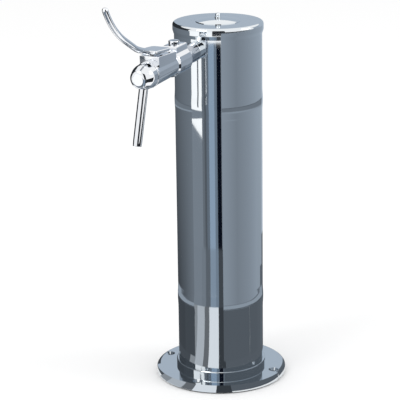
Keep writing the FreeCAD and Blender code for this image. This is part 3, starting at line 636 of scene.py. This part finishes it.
def flowAdjuster():
    s = adjusterSizes
    lowEdge, topEdge = s["headEdges"]
    head = spun([(0, s["stemFoot"], 0), (s["stem"], s["stemFoot"], 0), (s["stem"], s["seat"], 0),
                 (s["head"], s["seat"], lowEdge), (s["head"], s["top"], topEdge),
                 (0, s["top"], 0)], s["segments"])
    place = tapPlace @ Matrix.Translation((0, -tapSizes["adjuster"], 0))
    adjuster = solidObject("flowAdjuster", head, place)
    pinLength = s["stemFoot"] - s["pinFoot"] + s["pinInside"]
    pin = drum(s["pin"], pinLength, (s["pinOffset"], 0, s["pinFoot"]), segments=32)
    combine(adjuster, solidObject("pin", pin, place), "UNION")
    driver = block((4 * s["head"], s["slot"], 2 * s["slotDepth"]), (0, 0, s["top"]))
    combine(adjuster, solidObject("driver", driver, place), "DIFFERENCE")
    finishPiece(adjuster, "flow_adjuster", "adjuster")


outerSaddle()
tapCollar()
lockRing()
tapBody()
spoutHead()
spoutTube()
lever()
flowAdjuster()
print("stage: tap")


# studio

studio = {
    "viewAzimuth": 28.0, "pan": -0.0116, "pitch": 0.2867, "roll": -0.0129,
    "cameraAway": 1.7507, "cameraHeight": 0.7042, "lens": 158.75, "sensor": 36.0,
    "floorSize": 14.0, "floorDrop": 0.0002, "lampAim": 0.25,
}
# distances from the column's middle, in metres: the far cards, and near flags that the tap sticks
# out past, so that mostly the column sees them
farAway = 0.5
flagAway = 0.11
nearerAway = 0.1095
nearestAway = 0.109
flagTop = 0.055  # where the plain near flags end and the faded ones begin
fadedTop = 0.36
cardTop = 0.27  # most far cards in front end here
cardLift = 0.0004  # keeps the lying cards just off the floor
cardSteps = 24
fadedSteps = 12
cutGap = 1e-7
flagSides = ((-112, -33), (34, 156))  # where the near flags stand, left and right of the tap
bluePull = (0.13, 0.16)  # how far a full tint takes the red down and the blue up


def aroundColumn(azimuth):
    turn = math.radians(azimuth)
    return Vector((math.sin(turn), -math.cos(turn), 0))


def slate(value, tint=1.0):
    # grey with a little blue in it
    return (value * (1 - bluePull[0] * tint), value, value * (1 + bluePull[1] * tint))


def plainMatte(name, color):
    material, shader = blankMaterial(name)
    shader.inputs["Base Color"].default_value = (*color, 1)
    shader.inputs["Roughness"].default_value = 1.0
    shader.inputs["Specular IOR Level"].default_value = 0.0
    return material


def glowMatte(name, color):
    material, glow = blankMaterial(name, "ShaderNodeEmission")
    glow.inputs["Color"].default_value = (*color, 1)
    glow.inputs["Strength"].default_value = 1.0
    return material


def fadedGlow():
    # for cards whose corners differ: the colour is painted on the points
    material, glow = blankMaterial("fadedGlow", "ShaderNodeEmission")
    glow.inputs["Strength"].default_value = 1.0
    paint = material.node_tree.nodes.new("ShaderNodeAttribute")
    paint.attribute_name = "shade"
    material.node_tree.links.new(paint.outputs["Color"], glow.inputs["Color"])
    return material


def floorSheet():
    mesh = bmesh.new()
    bmesh.ops.create_grid(mesh, x_segments=1, y_segments=1, size=studio["floorSize"] / 2)
    floor = solidObject("floor", mesh, Matrix.Translation((0, 0, -studio["floorDrop"])))
    floor.data.materials.append(plainMatte("paleFloor", (0.94, 0.94, 0.94)))


def hideFromCamera(card):
    # only the metal's reflections see a card
    card.visible_camera = False
    card.visible_diffuse = False
    card.visible_shadow = False
    card.visible_transmission = False


def mirrorCard(name, fromAzimuth, toAzimuth, corners, color, endHeight=None):
    # curved card, one edge spun part of the way round, that only the metal sees
    mesh = bmesh.new()
    ahead = aroundColumn(fromAzimuth)
    ends = [mesh.verts.new(ahead * away + Vector((0, 0, height))) for away, height in corners]
    edge = mesh.edges.new(ends)
    bmesh.ops.spin(mesh, geom=[*ends, edge], cent=(0, 0, 0), axis=(0, 0, 1), dvec=(0, 0, 0),
                   angle=math.radians(toAzimuth - fromAzimuth), steps=cardSteps)
    if endHeight is not None:  # the top slopes to this height at the far end
        away, startHeight = corners[1]
        first = ahead * away + Vector((0, 0, startHeight))
        last = aroundColumn(toAzimuth) * away + Vector((0, 0, endHeight))
        middle = aroundColumn((fromAzimuth + toAzimuth) / 2)
        across = (last - first).cross(middle)
        across = across if across.z > 0 else -across
        bmesh.ops.bisect_plane(mesh, geom=[*mesh.verts, *mesh.edges, *mesh.faces], dist=cutGap,
                               plane_co=first, plane_no=across, clear_outer=True)
    card = solidObject(name, mesh, Matrix.Identity(4))
    card.data.materials.append(glowMatte(name, color))
    hideFromCamera(card)


def fadedCard(name, glow, fromAzimuth, toAzimuth, lowShades, highShades):
    # a near flag whose shade runs from one side to the other and from its foot to its top
    mesh = bmesh.new()
    ahead = aroundColumn(fromAzimuth) * flagAway
    ends = [mesh.verts.new(ahead + Vector((0, 0, height))) for height in (flagTop, fadedTop)]
    bmesh.ops.spin(mesh, geom=[*ends, mesh.edges.new(ends)], cent=(0, 0, 0), axis=(0, 0, 1),
                   dvec=(0, 0, 0), angle=math.radians(toAzimuth - fromAzimuth),
                   steps=fadedSteps)
    paint = mesh.verts.layers.float_color.new("shade")
    for corner in mesh.verts:
        turned = math.degrees(math.atan2(corner.co.x, -corner.co.y))
        share = (turned - fromAzimuth) / (toAzimuth - fromAzimuth)
        shades = lowShades if corner.co.z < (flagTop + fadedTop) / 2 else highShades
        corner[paint] = (*slate(shades[0] + (shades[1] - shades[0]) * share), 1)
    card = solidObject(name, mesh, Matrix.Identity(4))
    card.data.materials.append(glow)
    hideFromCamera(card)


standingCards = [
    # from, to, distance, low, high, colour
    (-112, -66, flagAway, 0.0, flagTop, slate(0.065)),
    (-66, -33, flagAway, 0.0, flagTop, slate(0.075)),
    (-27, -23.5, farAway, 0.19, cardTop, slate(0.12)),
    (34, 98, flagAway, 0.0, flagTop, slate(0.115)),
    (-15, -9, farAway, 0.0, cardTop, slate(0.17)),
    (-9, -4, farAway, 0.0, cardTop, slate(0.11)),
    (-4, 3, farAway, 0.0, cardTop, slate(0.17, 1.4)),
    (3, 17, farAway, 0.0, cardTop, slate(0.38, 1.8)),
    (17, 23.5, farAway, 0.0, cardTop, slate(0.21, 1.6)),
    (23.5, 34, farAway, 0.0, cardTop, (0.003, 0.005, 0.011)),
    (33.5, 38, farAway, 0.0, cardTop, slate(0.28)),
    (38, 112, farAway, 0.0, 0.30, slate(0.025)),
    (14, 44, farAway, 0.28, 0.70, (0.02, 0.022, 0.027)),
    (124, 150, farAway, 0.0, 0.60, slate(0.42)),
    (150, 222, farAway, 0.0, 0.60, slate(0.50)),
    (222, 312, farAway, 0.0, 0.72, slate(0.03)),
]
fadedCards = [
    # from, to, shade at each side of the foot, shade at each side of the top
    (-112, -89, (0.050, 0.070), (0.130, 0.150)),
    (-89, -62, (0.070, 0.110), (0.150, 0.190)),
    (-62, -33, (0.110, 0.190), (0.190, 0.215)),
    (34, 44, (0.310, 0.300), (0.320, 0.300)),
    (44, 66, (0.300, 0.245), (0.300, 0.250)),
    (66, 96, (0.245, 0.290), (0.250, 0.310)),
    (96, 124, (0.290, 0.350), (0.310, 0.370)),
    (124, 156, (0.350, 0.330), (0.370, 0.430)),
]
slantedCards = [
    # from, to, distance, low, high at the start, high at the end, colour
    (-47, -15, farAway, 0.0, 0.166, 0.147, slate(0.245)),
    (98, 127, nearerAway, 0.0, 0.056, 0.066, slate(0.115)),
    (127, 143, nearerAway, 0.0, 0.066, 0.092, slate(0.12)),
    (143, 158, nearerAway, 0.0, 0.092, 0.135, slate(0.13)),
]
ridgeCards = [
    # low, high, colour: thin lines that the two ridges pick up, on both sides of the column
    (0.0565, 0.0580, slate(0.06)), (0.0580, 0.0680, slate(0.34)), (0.0680, 0.0695, slate(0.16)),
    (0.2665, 0.2690, slate(0.33)), (0.2690, 0.2790, slate(0.20)), (0.2790, 0.2805, slate(0.14)),
]
lyingCards = [
    # from, to, near, far, colour
    (-47, -32, 0.07, 0.30, slate(0.30, 0.5)),
    (-32, -12, 0.07, 0.30, slate(0.50, 0.5)),
    (-12, 0, 0.07, 0.30, slate(0.16, 0.5)),
    (0, 23, 0.07, 0.30, slate(0.82, 0.3)),
    (23, 38, 0.07, 0.30, slate(0.05)),
    (-47, -20, 0.30, farAway, slate(0.24)),
    (-20, -9, 0.30, farAway, slate(0.22)),
    (-9, 3, 0.30, farAway, slate(0.14)),
    (3, 17, 0.30, farAway, slate(0.31, 1.6)),
    (17, 24, 0.30, farAway, slate(0.24, 1.6)),
    (24, 38, 0.30, farAway, slate(0.07)),
    (-112, -47, 0.073, flagAway, slate(0.08)),
    (38, 156, 0.073, flagAway, slate(0.12)),
    (156, 248, 0.073, farAway, slate(0.13)),
]


def studioCards():
    for index, (start, end, away, low, high, color) in enumerate(standingCards):
        mirrorCard(f"standingCard{index:02d}", start, end, ((away, low), (away, high)), color)
    glow = fadedGlow()
    for index, faded in enumerate(fadedCards):
        fadedCard(f"fadedCard{index:02d}", glow, *faded)
    for index, (start, end, away, low, high, endHigh, color) in enumerate(slantedCards):
        mirrorCard(f"slantedCard{index:02d}", start, end, ((away, low), (away, high)), color, endHigh)
    for index, (low, high, color) in enumerate(ridgeCards):
        for side, (start, end) in zip(("Left", "Right"), flagSides):
            mirrorCard(f"ridgeCard{side}{index:02d}", start, end,
                       ((nearestAway, low), (nearestAway, high)), color)
    for index, (start, end, near, far, color) in enumerate(lyingCards):
        mirrorCard(f"lyingCard{index:02d}", start, end, ((near, cardLift), (far, cardLift)), color)


def softLamp(name, azimuth, away, height, size, power):
    data = bpy.data.lights.new(name, "AREA")
    data.shape = "DISK"
    data.size = size
    data.energy = power
    lamp = bpy.data.objects.new(name, data)
    lamp.location = aroundColumn(azimuth) * away + Vector((0, 0, height))
    aim = Vector((0, 0, studio["lampAim"])) - lamp.location
    lamp.rotation_euler = aim.to_track_quat("-Z", "Y").to_euler()
    bpy.context.scene.collection.objects.link(lamp)


def whiteWorld():
    world = bpy.data.worlds.new("whiteWorld")
    bpy.context.scene.world = world
    world.use_nodes = True
    nodes = world.node_tree.nodes
    nodes.clear()
    output = nodes.new("ShaderNodeOutputWorld")
    background = nodes.new("ShaderNodeBackground")
    background.inputs["Color"].default_value = (1, 1, 1, 1)
    background.inputs["Strength"].default_value = 1.0
    world.node_tree.links.new(background.outputs["Background"], output.inputs["Surface"])


def photoCamera():
    s = studio
    forward = Vector((math.sin(s["pan"]), math.cos(s["pan"]), 0))
    right = Vector((math.cos(s["pan"]), -math.sin(s["pan"]), 0))
    up = Vector((0, 0, 1))
    ahead = forward * math.cos(s["pitch"]) - up * math.sin(s["pitch"])
    tilted = up * math.cos(s["pitch"]) + forward * math.sin(s["pitch"])
    side = right * math.cos(s["roll"]) + tilted * math.sin(s["roll"])
    top = tilted * math.cos(s["roll"]) - right * math.sin(s["roll"])
    axes = Matrix((side, top, -ahead)).transposed().to_4x4()
    data = bpy.data.cameras.new("photoCamera")
    data.lens = s["lens"]
    data.sensor_width = s["sensor"]
    camera = bpy.data.objects.new("photoCamera", data)
    camera.matrix_world = (Matrix.Rotation(math.radians(s["viewAzimuth"]), 4, "Z")
                           @ Matrix.Translation((0, -s["cameraAway"], s["cameraHeight"])) @ axes)
    bpy.context.scene.collection.objects.link(camera)
    bpy.context.scene.camera = camera


floorSheet()
studioCards()
softLamp("keyLamp", azimuth=-20, away=2.2, height=2.2, size=1.2, power=14)
softLamp("sideLamp", azimuth=110, away=2.0, height=1.6, size=1.0, power=8)
whiteWorld()
photoCamera()
bpy.context.scene.view_settings.view_transform = "Standard"
print("stage: studio")
